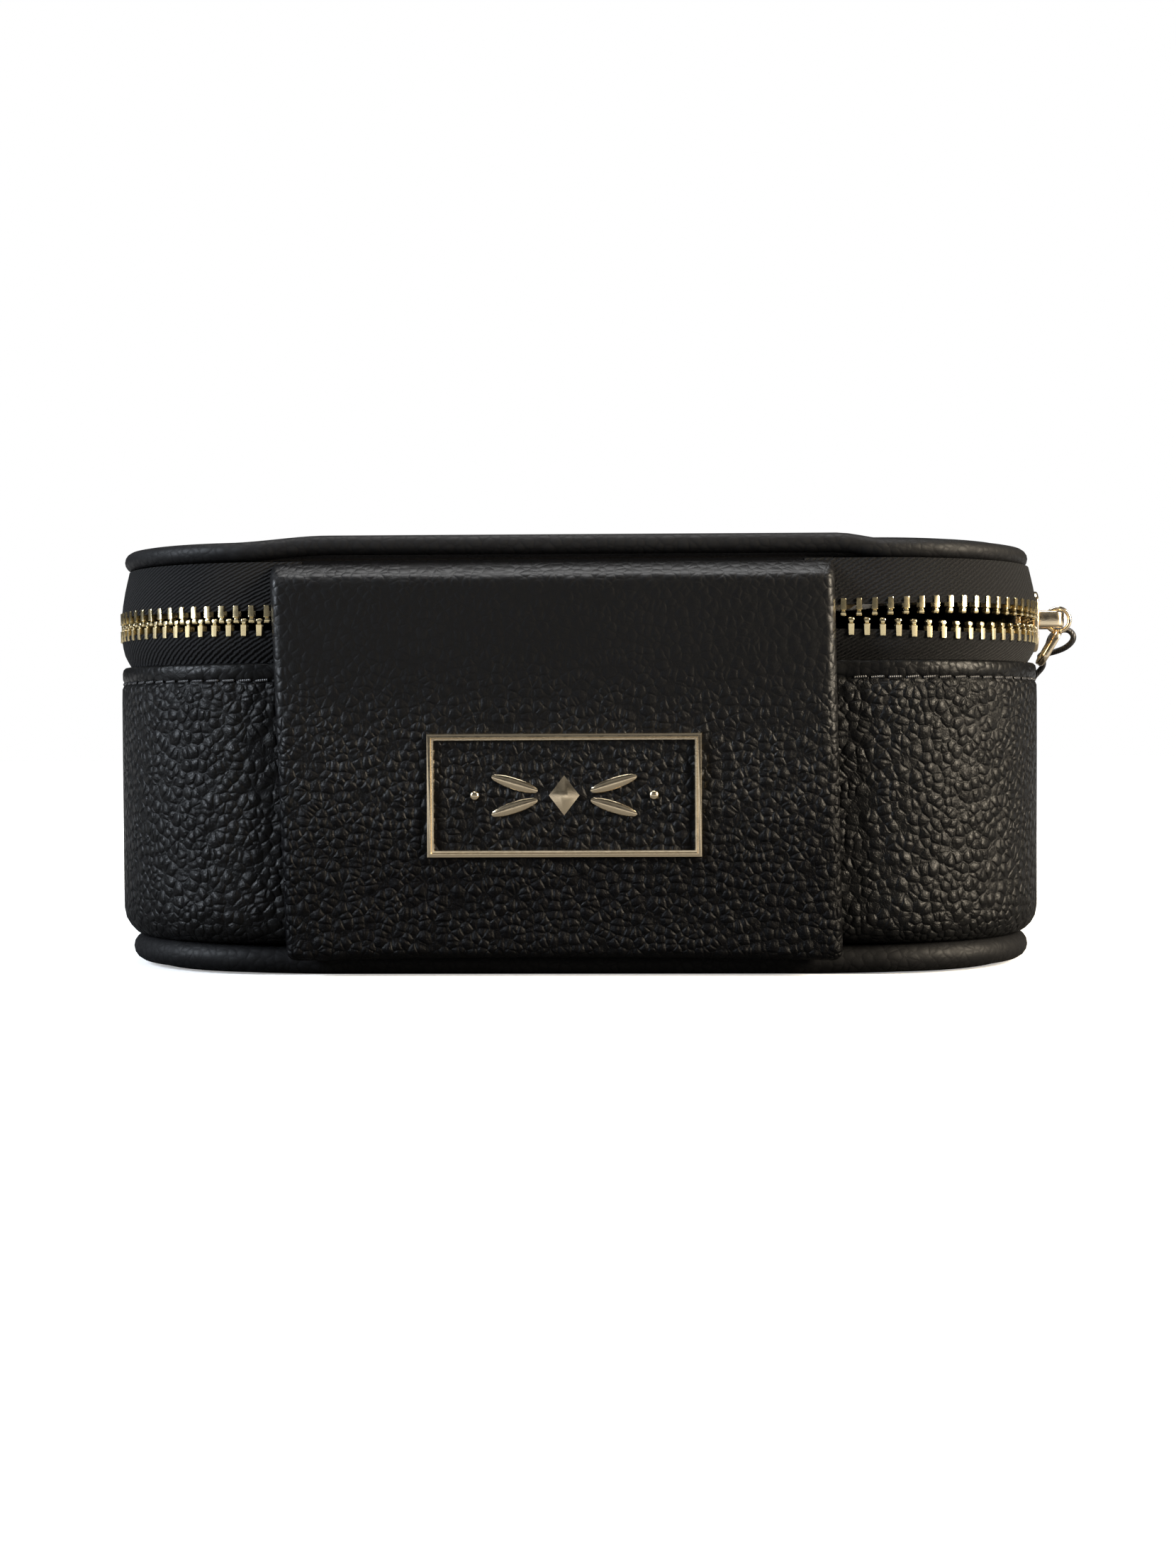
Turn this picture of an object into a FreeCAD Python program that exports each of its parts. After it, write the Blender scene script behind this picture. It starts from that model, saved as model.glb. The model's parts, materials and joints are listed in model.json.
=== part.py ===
"""Zipped leather jewellery case: a rounded box with piped edges, a wide leather hinge panel at the
front (-Y), a zip that runs round the other three sides, a slider on the right side, and a padded
inside with ring rolls, dividers and a mirror in the lid.

Frame: millimetres, +Z up, +X right, origin at the centre of the underside that the case rests on.
"""
import FreeCAD
import Part
import math
import os

os.makedirs("parts", exist_ok=True)

V = FreeCAD.Vector

# Outline of the case, seen from above
WIDTH = 168.0
DEPTH = 116.0
CORNER_R = 32.0

# Heights
FLOOR_TOP = 5.0
WALL_TOP = 53.8
CHAIN_Z = 61.0
LID_FLANGE_Z = 70.3
LID_BOARD_Z = 70.9
LID_BOARD_TOP = 73.2
LID_TOP = 75.9

# Layers of the base wall, from the outside in
LEATHER_T = 1.6
BOARD_T = 2.5
LINING_T = 1.0
HEM_H = 3.0
WALL_ROLL_R = 3.0

# Piping: a covered cord round the lid and round the underside
BOTTOM_PIPING_R = 2.4
BOTTOM_PIPING_INSET = 4.1
LID_PIPING_R = 1.7
LID_PIPING_INSET = 2.9

# Zip
TAPE_T = 0.6
TOOTH_PITCH = 2.65
TOOTH_W = 1.05
HEAD_W = 1.15
TOOTH_H = 3.2
TOOTH_T = 1.7
TOOTH_PROUD = 0.3
MESH_DEPTH = 0.45
MOUTH_DROP = 1.1

# Hinge panel; it leans a little to the left
PANEL_X = -1.2
PANEL_X_TOP = -3.1
PANEL_W_BOTTOM = 94.8
PANEL_W_TOP = 95.9
PANEL_Z0 = 3.2
PANEL_Z1 = 70.3
PANEL_T = 2.6
HINGE_GAP = 3.0

# Plaque
PLAQUE_X = -0.9
PLAQUE_Z = 31.0
PLAQUE_W = 46.7
PLAQUE_H = 21.1
PLAQUE_BAR = 1.35
PLAQUE_T = 0.9

# Slider, centred at SLIDER_Y on the right side
SLIDER_Y = -15.0
SLIDER_L = 13.0
SLIDER_H = 11.3
PLATE_T = 1.1
PLATE_GAP = 0.3
CROWN_REACH = 5.2
CROWN_W = 2.6
CROWN_BAR_T = 1.2

# Pull: ring round the crown's bar, a flat tab clamped on the ring, and a cord tied to the tab
PULL_RING_R = 2.2
PULL_WIRE_R = 0.4
TAB_T = 1.2
TAB_W = 5.4
TAB_L = 7.5
TAB_LEAN = 30.0
CORD_D = 1.1
CORD_POINTS = [
    (88.9, -12.3, 57.2),
    (89.4, -10.1, 58.9),
    (90.9, -9.3, 60.5),
    (93.2, -10.1, 61.0),
    (94.4, -10.6, 59.3),
    (93.1, -9.8, 57.5),
    (90.6, -8.1, 56.5),
    (87.9, -6.2, 56.1),
    (90.1, -3.9, 54.5),
    (87.5, -2.0, 51.6),
    (86.0, -1.4, 47.4),
    (86.2, -1.0, 43.2),
    (85.9, -1.3, 39.4),
]

INSIDE = LEATHER_T + BOARD_T + LINING_T


def outline(inset, z):
    """Closed wire: the case's rounded rectangle, moved in by inset, at height z."""
    hx = WIDTH / 2 - inset
    hy = DEPTH / 2 - inset
    r = CORNER_R - inset
    edges = []
    corners = [(1, -1, -90), (1, 1, 0), (-1, 1, 90), (-1, -1, 180)]
    ends = []
    for sx, sy, start in corners:
        centre = V(sx * (hx - r), sy * (hy - r), z)
        a = math.radians(start)
        points = []
        for step in (0, 45, 90):
            t = a + math.radians(step)
            points.append(centre + V(r * math.cos(t), r * math.sin(t), 0))
        ends.append(points)
    for i, points in enumerate(ends):
        edges.append(Part.Arc(points[0], points[1], points[2]).toShape())
        edges.append(Part.LineSegment(points[2], ends[(i + 1) % 4][0]).toShape())
    return Part.Wire(edges)


def slab(inset, z0, z1):
    """Solid plate with the case's outline."""
    return Part.Face(outline(inset, z0)).extrude(V(0, 0, z1 - z0))


def ring(inset0, inset1, z0, z1):
    """Upright band between two insets."""
    return slab(inset0, z0, z1).cut(slab(inset1, z0 - 1, z1 + 1))


def rolled_slab(inset, z0, z1, radius, top=False):
    """Plate whose lower or upper outside edge is rounded."""
    body = slab(inset, z0, z1)
    level = z1 if top else z0
    edges = [e for e in body.Edges if all(abs(v.Z - level) < 1e-6 for v in e.Vertexes)]
    return body.makeFillet(radius, edges)


def box(x0, x1, y0, y1, z0, z1):
    return Part.makeBox(x1 - x0, y1 - y0, z1 - z0, V(x0, y0, z0))


def rounded_box(x0, x1, y0, y1, z0, z1, radius, axis):
    """Box with its four edges along one axis rounded."""
    body = box(x0, x1, y0, y1, z0, z1)
    along = {"X": V(1, 0, 0), "Y": V(0, 1, 0), "Z": V(0, 0, 1)}[axis]
    edges = []
    for e in body.Edges:
        run = e.Vertexes[1].Point - e.Vertexes[0].Point
        if abs(abs(run.normalize().dot(along)) - 1) < 1e-6:
            edges.append(e)
    return body.makeFillet(radius, edges)


def piping(inset, z, radius):
    """Round cord swept round the outline."""
    path = outline(inset, z)
    start = V(WIDTH / 2 - CORNER_R, -DEPTH / 2 + inset, z)
    circle = Part.Circle(start, V(1, 0, 0), radius)
    section = Part.Wire([circle.toShape()])
    return path.makePipeShell([section], True, False)


def save(name, shape):
    if isinstance(shape, (list, tuple)):
        shape = Part.makeCompound(list(shape))
    shape.exportStep("parts/" + name + ".step")
    solids = shape.Solids
    volume = sum(s.Volume for s in solids)
    print(f"{name:24s} {len(solids):4d} solids {volume:10.1f} mm3 valid {shape.isValid()}")


# ---------------------------------------------------------------- base

def base_shell():
    """Underside, wall, hem and linings of the base."""
    under_inset = BOTTOM_PIPING_INSET + BOTTOM_PIPING_R
    save("bottom_leather", slab(under_inset, 0, 1.0))
    save("bottom_board", slab(under_inset, 1.0, FLOOR_TOP))
    save("bottom_piping", piping(BOTTOM_PIPING_INSET, BOTTOM_PIPING_R, BOTTOM_PIPING_R))

    flange = FLOOR_TOP + LEATHER_T
    hem_z = WALL_TOP - HEM_H
    outer = rolled_slab(0, FLOOR_TOP, hem_z, WALL_ROLL_R)
    inner = rolled_slab(LEATHER_T, flange, hem_z + 1, WALL_ROLL_R - LEATHER_T)
    window = slab(under_inset + 1.5, FLOOR_TOP - 1, hem_z + 1)
    save("wall_leather", outer.cut(inner).cut(window))
    save("wall_hem", ring(0.15, LEATHER_T, hem_z, WALL_TOP))

    board = rolled_slab(LEATHER_T, flange, WALL_TOP, WALL_ROLL_R - LEATHER_T)
    save("wall_board", board.cut(slab(LEATHER_T + BOARD_T, flange - 1, WALL_TOP + 1)))
    save("floor_padding", slab(under_inset + 1.5, FLOOR_TOP, flange))
    save("floor_lining", slab(LEATHER_T + BOARD_T, flange, flange + LINING_T))
    save("wall_lining", ring(LEATHER_T + BOARD_T, INSIDE, flange + LINING_T, WALL_TOP - 1))


def base_inside():
    """Dividers and the ring rolls on their block."""
    floor = FLOOR_TOP + LEATHER_T + LINING_T
    half_x = WIDTH / 2 - INSIDE
    half_y = DEPTH / 2 - INSIDE
    divider_t = 2.4
    cross_x = -10.0
    long_y = 5.0
    divider_top = 45.0
    left = cross_x - divider_t / 2
    right = cross_x + divider_t / 2
    save("cross_divider", rounded_box(left, right, -half_y, half_y, floor, divider_top, 1.0, "Y"))
    y0 = long_y - divider_t / 2
    save("long_divider", rounded_box(right, half_x, y0, y0 + divider_t, floor, divider_top - 3, 1.0, "X"))

    block_top = 24.0
    roll_r = 5.3
    roll_pitch = 11.0
    x0 = -half_x + 0.5
    x1 = left - 0.3
    half_block = 2.5 * roll_pitch + 1.0
    save("ring_roll_block", box(x0, x1, -half_block, half_block, floor, block_top))
    rolls = []
    for i in range(-2, 3):
        at = V(x0 + 0.8, i * roll_pitch, block_top + roll_r)
        roll = Part.makeCylinder(roll_r, x1 - x0 - 1.6, at, V(1, 0, 0))
        rolls.append(roll.makeFillet(1.5, [e for e in roll.Edges if e.Closed]))
    save("ring_rolls", rolls)


# ---------------------------------------------------------------- zip

def panel_window(z0, z1):
    """Space behind the hinge panel, where there is no zip."""
    half = PANEL_W_BOTTOM / 2 - 4
    return box(PANEL_X_TOP - half, PANEL_X_TOP + half, -DEPTH / 2 - 5, -DEPTH / 2 + 20, z0, z1)


def straight_and_arcs(inset):
    """Lengths of the outline's pieces, anticlockwise from the middle of the right side."""
    r = CORNER_R - inset
    side = DEPTH / 2 - CORNER_R
    back = WIDTH - 2 * CORNER_R
    arc = math.pi / 2 * r
    return [side, arc, back, arc, 2 * side, arc, back, arc, side]


def at_distance(s, inset):
    """Point and outward direction at distance s round the outline from the right side's middle."""
    lengths = straight_and_arcs(inset)
    s %= sum(lengths)
    x = WIDTH / 2 - inset
    y = 0.0
    heading = 90.0
    for i, length in enumerate(lengths):
        go = min(s, length)
        if i % 2 == 0:
            x += go * math.cos(math.radians(heading))
            y += go * math.sin(math.radians(heading))
        else:
            r = CORNER_R - inset
            turn = math.degrees(go / r)
            centre_x = x - r * math.cos(math.radians(heading - 90))
            centre_y = y - r * math.sin(math.radians(heading - 90))
            heading += turn
            x = centre_x + r * math.cos(math.radians(heading - 90))
            y = centre_y + r * math.sin(math.radians(heading - 90))
        s -= go
        if s <= 0:
            break
    return x, y, heading - 90


def smooth(t):
    t = min(1.0, max(0.0, t))
    return t * t * (3 - 2 * t)


def row_drop(x, y):
    """How far a row stands back from its meshed place: the chain is open from the panel's right
    edge round the front right corner to the slider, and closed everywhere else."""
    if x < PANEL_X + 20 or y > SLIDER_Y + 6:
        return 0.0
    if x > WIDTH / 2 - 3:
        return MOUTH_DROP * smooth((SLIDER_Y + 6 - y) / 9.0)
    near_panel = smooth((x - PANEL_X_TOP - PANEL_W_TOP / 2 + 1) / 26.0)
    return MESH_DEPTH + (MOUTH_DROP - MESH_DEPTH) * near_panel


def tooth(sign):
    """One tooth pointing to the chain's middle, its tip at z = 0 and its back at x = 0."""
    w = TOOTH_W / 2
    h = HEAD_W / 2
    half = [(w, -TOOTH_H), (w, -1.3), (h, -0.9), (h, -0.35), (h - 0.28, 0.0)]
    profile = half + [(-y, z) for y, z in reversed(half)]
    points = [V(0, y, sign * z) for y, z in profile]
    face = Part.Face(Part.makePolygon(points + [points[0]]))
    body = face.extrude(V(TOOTH_T, 0, 0))
    return body


def zip_rows():
    """Teeth of both rows; those that the slider runs over are apart, because it parts them."""
    mid_inset = -TOOTH_PROUD + TOOTH_T / 2
    total = sum(straight_and_arcs(mid_inset))
    count = int(round(total / TOOTH_PITCH))
    pitch = total / count
    left = PANEL_X_TOP - PANEL_W_TOP / 2 - 0.7
    right = PANEL_X_TOP + PANEL_W_TOP / 2 + 1.1
    for name, sign, shift in (("lower", 1, 0.0), ("upper", -1, 0.5)):
        one = tooth(sign)
        fixed = []
        run = []
        for i in range(count):
            x, y, out = at_distance((i + shift) * pitch, mid_inset)
            if y < 0 and left < x < right:
                continue
            tip = CHAIN_Z + sign * (MESH_DEPTH - row_drop(x, y))
            t = one.copy()
            t.translate(V(-TOOTH_T / 2, 0, 0))
            t.rotate(V(0, 0, 0), V(0, 0, 1), out)
            t.translate(V(x, y, tip))
            in_run = x > WIDTH / 2 - 3 and SLIDER_Y - 8 < y < 26
            (run if in_run else fixed).append(t)
        save("zip_teeth_" + name, fixed)
        save("zip_teeth_" + name + "_run", run)


def zip_tapes():
    """Cloth tape of each side, and the flange that turns in under the lid's board."""
    tape_gap = 1.8
    lower = ring(0.0, TAPE_T, WALL_TOP, CHAIN_Z - tape_gap)
    save("zip_tape_lower", lower.cut(panel_window(WALL_TOP - 1, CHAIN_Z)))
    upright = ring(0.3, 0.3 + TAPE_T, CHAIN_Z + tape_gap, LID_BOARD_Z)
    upright = upright.cut(panel_window(CHAIN_Z, LID_FLANGE_Z))
    flange = ring(0.3 + TAPE_T, 8.0, LID_FLANGE_Z, LID_BOARD_Z)
    save("zip_tape_upper", upright.fuse(flange).removeSplitter())


def slider():
    """Two plates joined by a post that runs between the rows, and a crown that holds the pull."""
    y0 = SLIDER_Y - SLIDER_L / 2
    y1 = SLIDER_Y + SLIDER_L / 2
    z0 = CHAIN_Z + 0.9 - SLIDER_H / 2
    z1 = z0 + SLIDER_H
    outer_x = WIDTH / 2 + TOOTH_PROUD + PLATE_GAP
    inner_x = WIDTH / 2 + TOOTH_PROUD - TOOTH_T - PLATE_GAP
    outer = rounded_box(outer_x, outer_x + PLATE_T, y0, y1, z0, z1, 2.6, "X")
    save("slider_outer_plate", outer)
    inner = rounded_box(inner_x - PLATE_T, inner_x, y0, y1, z0, z1, 2.6, "X")
    save("slider_inner_plate", inner)
    post = rounded_box(inner_x, outer_x, y0 + 0.6, y0 + 3.0, CHAIN_Z - 0.35, CHAIN_Z + 0.35, 0.3, "X")
    save("slider_post", post)

    crown_z0 = CHAIN_Z + 0.1
    crown_x0 = outer_x + PLATE_T
    crown_x1 = crown_x0 + CROWN_REACH
    block = rounded_box(crown_x0 - 2, crown_x1, SLIDER_Y - 4.6, SLIDER_Y + 4.6,
                        crown_z0, crown_z0 + CROWN_W, 1.8, "Z")
    block = block.cut(box(crown_x0 - 3, crown_x0, y0, y1, z0, z1))
    eye = rounded_box(crown_x0 - 3, crown_x1 - CROWN_BAR_T, SLIDER_Y - 3.1, SLIDER_Y + 3.1,
                      crown_z0 - 1, crown_z0 + CROWN_W + 1, 0.6, "Z")
    save("slider_crown", block.cut(eye))
    return crown_x1 - CROWN_BAR_T / 2, crown_z0 + CROWN_W / 2


def rounded_tube(points, radii, tube_r):
    """Round tube along straight runs joined by tangent arcs."""
    edges = []
    last = points[0]
    for i in range(1, len(points) - 1):
        before = (points[i - 1] - points[i]).normalize()
        after = (points[i + 1] - points[i]).normalize()
        half = math.acos(max(-1, min(1, before.dot(after)))) / 2
        reach = radii[i - 1] / math.tan(half)
        a = points[i] + before * reach
        b = points[i] + after * reach
        middle_way = (before + after).normalize()
        centre = points[i] + middle_way * (radii[i - 1] / math.sin(half))
        m = centre - middle_way * radii[i - 1]
        edges.append(Part.LineSegment(last, a).toShape())
        edges.append(Part.Arc(a, m, b).toShape())
        last = b
    edges.append(Part.LineSegment(last, points[-1]).toShape())
    wire = Part.Wire(edges)
    direction = (points[1] - points[0]).normalize()
    section = Part.Wire([Part.Circle(points[0], direction, tube_r).toShape()])
    tube = wire.makePipeShell([section], True, False)
    share = tube.Volume / (math.pi * tube_r ** 2 * wire.Length)
    print(f"tube length {wire.Length:.2f} volume share {share:.4f} radii {[round(r, 2) for r in radii]}")
    return tube


def pull(bar_x, bar_z):
    """Ring round the crown's bar, and the flat tab that hangs from it, leaning to the wall."""
    link = Part.makeTorus(PULL_RING_R, PULL_WIRE_R, V(bar_x, SLIDER_Y, bar_z), V(0, 1, 0))
    save("pull_ring", link)
    low = bar_z - PULL_RING_R
    top = low + PULL_WIRE_R - 0.1
    tab = rounded_box(bar_x - TAB_T / 2, bar_x + TAB_T / 2, SLIDER_Y - TAB_W / 2,
                      SLIDER_Y + TAB_W / 2, top - TAB_L, top, 2.0, "X")
    tab.rotate(V(bar_x, SLIDER_Y, low), V(0, 1, 0), TAB_LEAN)
    save("pull_tab", tab.cut(link))
    print(f"pull pivot {bar_x:.2f} {SLIDER_Y:.2f} {bar_z:.2f}")


def pull_cord():
    """Thin cord knotted on the pull: out past the crown, back under it and along the side."""
    points = [V(*p) for p in CORD_POINTS]
    radii = []
    for i in range(1, len(points) - 1):
        before = points[i - 1] - points[i]
        after = points[i + 1] - points[i]
        turn = math.pi - before.getAngle(after)
        radii.append(0.45 * min(before.Length, after.Length) / math.tan(turn / 2))
    save("pull_cord", rounded_tube(points, radii, CORD_D / 2))


# ---------------------------------------------------------------- lid

def lid():
    """Board, foam, leather and piping of the lid, its linings, and the mirror in its frame."""
    edge = LID_PIPING_INSET + LID_PIPING_R + 0.2
    save("lid_board", slab(edge, LID_BOARD_Z, LID_BOARD_TOP))
    foam_top = LID_BOARD_TOP + 1.2
    save("lid_foam", slab(edge + 1.2, LID_BOARD_TOP, foam_top))
    cover = rolled_slab(edge, LID_BOARD_TOP, LID_TOP, 2.2, top=True)
    save("lid_leather", cover.cut(slab(edge + 1.2, LID_BOARD_TOP - 1, foam_top)))
    save("lid_piping", piping(LID_PIPING_INSET, LID_BOARD_Z + LID_PIPING_R, LID_PIPING_R))

    save("lid_lining_padding", slab(8.05, LID_FLANGE_Z, LID_BOARD_Z))
    lining_z0 = LID_FLANGE_Z - LINING_T
    save("lid_lining", slab(1.6, lining_z0, LID_FLANGE_Z))

    mirror_w = 112.0
    mirror_d = 68.0
    mirror_t = 2.0
    bezel = 3.0
    z0 = lining_z0 - mirror_t
    glass = rounded_box(-mirror_w / 2, mirror_w / 2, -mirror_d / 2, mirror_d / 2,
                        z0 + 0.5, lining_z0, 8.0, "Z")
    save("lid_mirror", glass)
    w = mirror_w / 2 + bezel
    d = mirror_d / 2 + bezel
    frame = rounded_box(-w, w, -d, d, z0, lining_z0, 11.0, "Z")
    hole = rounded_box(-mirror_w / 2 + 1, mirror_w / 2 - 1, -mirror_d / 2 + 1, mirror_d / 2 - 1,
                       z0 - 1, lining_z0 + 1, 7.0, "Z")
    save("mirror_frame", frame.cut(hole).cut(glass))


# ---------------------------------------------------------------- hinge panel and plaque

def panel_half(z0, z1, round_bottom):
    """Leather slab of the hinge panel between two heights."""
    def edge_x(z, side):
        share = (z - PANEL_Z0) / (PANEL_Z1 - PANEL_Z0)
        width = PANEL_W_BOTTOM + (PANEL_W_TOP - PANEL_W_BOTTOM) * share
        return PANEL_X + (PANEL_X_TOP - PANEL_X) * share + side * width / 2
    y = -DEPTH / 2
    points = [V(edge_x(z0, -1), y, z0), V(edge_x(z0, 1), y, z0), V(edge_x(z1, 1), y, z1), V(edge_x(z1, -1), y, z1)]
    body = Part.Face(Part.makePolygon(points + [points[0]])).extrude(V(0, -PANEL_T, 0))
    low = [e for e in body.Edges if abs(e.Vertexes[0].Z - e.Vertexes[1].Z) < 1e-6
           and abs(e.Vertexes[0].Z - z0) < 1e-6 and abs(e.Vertexes[0].X - e.Vertexes[1].X) < 1e-6]
    if round_bottom:
        body = body.makeFillet(1.8, low)
    front = [e for e in body.Edges if all(abs(v.Y - (y - PANEL_T)) < 1e-6 for v in e.Vertexes)]
    return body.makeFillet(0.9, front)


def hinge():
    save("hinge_panel_lower", panel_half(PANEL_Z0, CHAIN_Z - HINGE_GAP, True))
    save("hinge_panel_upper", panel_half(CHAIN_Z + HINGE_GAP, PANEL_Z1, False))
    half = PANEL_W_BOTTOM / 2 - 6
    middle = (PANEL_X + PANEL_X_TOP) / 2
    y0 = -DEPTH / 2 + 0.7
    lining_t = 0.8
    for name, z0, z1 in (("lower", WALL_TOP, CHAIN_Z - HINGE_GAP),
                         ("upper", CHAIN_Z + HINGE_GAP, LID_FLANGE_Z - LINING_T)):
        save("hinge_lining_" + name,
             box(middle - half, middle + half, y0, y0 + lining_t, z0, z1))


def plaque():
    """Open metal frame on the panel with a plain leaf-and-lozenge ornament inside it."""
    y = -DEPTH / 2 - PANEL_T
    w = PLAQUE_W / 2
    h = PLAQUE_H / 2
    outer = box(PLAQUE_X - w, PLAQUE_X + w, y - PLAQUE_T, y, PLAQUE_Z - h, PLAQUE_Z + h)
    front = [e for e in outer.Edges if all(abs(v.Y - (y - PLAQUE_T)) < 1e-6 for v in e.Vertexes)]
    outer = outer.makeChamfer(0.35, front)
    hole = box(PLAQUE_X - w + PLAQUE_BAR, PLAQUE_X + w - PLAQUE_BAR, y - 5, y + 1,
               PLAQUE_Z - h + PLAQUE_BAR, PLAQUE_Z + h - PLAQUE_BAR)
    save("plaque_frame", outer.cut(hole))

    pieces = []
    lozenge = [V(PLAQUE_X + a, y, PLAQUE_Z + b) for a, b in ((-2.6, 0), (0, -3.4), (2.6, 0), (0, 3.4))]
    pieces.append(Part.Face(Part.makePolygon(lozenge + [lozenge[0]])).extrude(V(0, -0.5, 0)))
    for side in (-1, 1):
        for lift in (-1, 1):
            leaf = Part.makeCylinder(1.0, 0.5, V(0, 0, 0), V(0, -1, 0))
            stretch = FreeCAD.Matrix()
            stretch.scale(V(4.2, 1.0, 1.1))
            leaf = leaf.transformGeometry(stretch)
            leaf.rotate(V(0, 0, 0), V(0, 1, 0), -side * lift * 18)
            leaf.translate(V(PLAQUE_X + side * 8.4, y, PLAQUE_Z + lift * 2.0))
            pieces.append(leaf)
        bead = Part.makeCylinder(0.8, 0.5, V(PLAQUE_X + side * 15.2, y, PLAQUE_Z), V(0, -1, 0))
        pieces.append(bead)
    save("plaque_ornament", pieces)


def main():
    base_shell()
    base_inside()
    zip_tapes()
    zip_rows()
    bar_x, bar_z = slider()
    pull(bar_x, bar_z)
    pull_cord()
    lid()
    hinge()
    plaque()


main()
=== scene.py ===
# %% [markdown]
# # A zipped leather jewellery case
# The case is a rounded box covered in black pebbled leather. A zip runs round three sides of it,
# and a wide strip of leather on the fourth side is the hinge. The design model gives every size
# and every moving body, so this lesson starts by loading it, and then makes the visible skins.

# %% Load the frame
import json
import math
import random

import bmesh
import bpy
from mathutils import Matrix, Vector, noise


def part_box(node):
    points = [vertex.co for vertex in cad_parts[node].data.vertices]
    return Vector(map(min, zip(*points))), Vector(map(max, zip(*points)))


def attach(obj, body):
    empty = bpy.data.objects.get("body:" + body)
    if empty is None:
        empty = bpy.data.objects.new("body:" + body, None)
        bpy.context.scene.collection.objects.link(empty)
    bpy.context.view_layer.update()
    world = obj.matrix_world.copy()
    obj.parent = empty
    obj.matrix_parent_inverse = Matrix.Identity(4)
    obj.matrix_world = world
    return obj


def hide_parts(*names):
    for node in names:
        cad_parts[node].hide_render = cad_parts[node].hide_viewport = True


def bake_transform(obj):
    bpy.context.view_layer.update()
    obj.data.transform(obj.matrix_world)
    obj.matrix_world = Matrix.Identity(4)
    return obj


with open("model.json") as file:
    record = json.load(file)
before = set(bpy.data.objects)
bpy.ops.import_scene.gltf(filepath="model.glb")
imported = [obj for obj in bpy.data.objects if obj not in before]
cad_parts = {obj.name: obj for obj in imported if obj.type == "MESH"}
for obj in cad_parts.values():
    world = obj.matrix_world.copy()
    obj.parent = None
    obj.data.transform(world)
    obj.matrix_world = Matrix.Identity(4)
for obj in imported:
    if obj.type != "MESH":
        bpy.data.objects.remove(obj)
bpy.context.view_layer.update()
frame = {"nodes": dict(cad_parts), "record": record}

MM = 0.001
random.seed(7)

# %% [markdown]
# ## Sizes that come from the frame
# Nothing is measured twice. The wall's box gives the outline, the hem gives the height of the
# wall, and the lid's hinge gives the height of the zip's chain.

# %% Read the sizes
HALF_X, HALF_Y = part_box("wall_leather")[1][0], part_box("wall_leather")[1][1]
CORNER_R = 32 * MM
WALL_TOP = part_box("wall_hem")[1][2]
JOINTS = {j["name"]: j for j in frame["record"]["behaviour"]["joints"]}
HINGE = Vector(JOINTS["lid_hinge"]["pos_m"])
CHAIN_Z = HINGE.z
PANEL_LOW, PANEL_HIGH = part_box("hinge_panel_lower")[0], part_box("hinge_panel_upper")[1]
PANEL_X = -1.2 * MM
PANEL_TOP_X = -3.1 * MM
BEHIND_PANEL = 46 * MM
FOOT_R = (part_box("bottom_piping")[1][2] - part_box("bottom_piping")[0][2]) / 2
PIPING_R = (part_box("lid_piping")[1][2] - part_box("lid_piping")[0][2]) / 2
print(f"half width {HALF_X:.4f}, half depth {HALF_Y:.4f}, chain at {CHAIN_Z:.4f}")

# %% [markdown]
# ## Camera
# The camera stands a little right of the middle and at half the case's height, so the top is
# just hidden. Its three axes are written out from small turns: yaw, pitch and roll.

# %% Camera
LENS_MM = 48.8
SENSOR_MM = 36.0
YAW, PITCH, ROLL = -0.0371, 0.0235, 0.005
CAMERA_OFFSET = Vector((0.9, -419.9, 41.35)) * MM


def camera_matrix():
    """World matrix of a camera that looks along +Y before its three small turns."""
    forward = Vector((0, math.cos(PITCH), -math.sin(PITCH)))
    up = Vector((0, math.sin(PITCH), math.cos(PITCH)))
    right = Vector((1, 0, 0))
    turned_right = right * math.cos(ROLL) - up * math.sin(ROLL)
    turned_up = right * math.sin(ROLL) + up * math.cos(ROLL)
    axes = Matrix((turned_right, turned_up, -forward)).transposed().to_4x4()
    unyaw = Matrix.Rotation(-YAW, 4, "Z")
    return Matrix.Translation(unyaw @ CAMERA_OFFSET) @ unyaw @ axes


camera_data = bpy.data.cameras.new("camera")
camera_data.sensor_fit = "VERTICAL"
camera_data.sensor_height = SENSOR_MM
camera_data.lens = LENS_MM
camera_data.clip_start = 0.01
camera = bpy.data.objects.new("camera", camera_data)
camera.matrix_world = camera_matrix()
bpy.context.collection.objects.link(camera)
bpy.context.scene.camera = camera
print("camera at", [round(c, 3) for c in camera.location])

# %% [markdown]
# ## Small helpers
# `finish_mesh` turns a bmesh into an object, smooths it, and says which body it rides on and
# which design solids it stands for. Every piece below ends with it.


# %% Make an object from a bmesh
def finish_mesh(bm, name, material, body, replaces=(), slot=None, smooth_angle=40):
    mesh = bpy.data.meshes.new(name)
    bm.normal_update()
    bm.to_mesh(mesh)
    bm.free()
    mesh.materials.append(material)
    mesh.shade_smooth()
    mesh.set_sharp_from_angle(angle=math.radians(smooth_angle))
    piece = bpy.data.objects.new(name, mesh)
    bpy.context.collection.objects.link(piece)
    if isinstance(body, str):
        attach(piece, body)
    if replaces:
        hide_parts(*replaces)
    print(f"{name}: {len(mesh.polygons)} faces")
    return piece


def smooth_step(t):
    t = min(1.0, max(0.0, t))
    return t * t * (3 - 2 * t)


def bisect(bm, place, across):
    """Cuts the whole mesh along a plane, and keeps both sides."""
    bmesh.ops.bisect_plane(bm, geom=bm.verts[:] + bm.edges[:] + bm.faces[:], plane_co=place, plane_no=across)


def bevel(bm, edges, width, segments):
    bmesh.ops.bevel(bm, geom=edges, offset=width, segments=segments, affect="EDGES", profile=0.5, material=-1)


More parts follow.
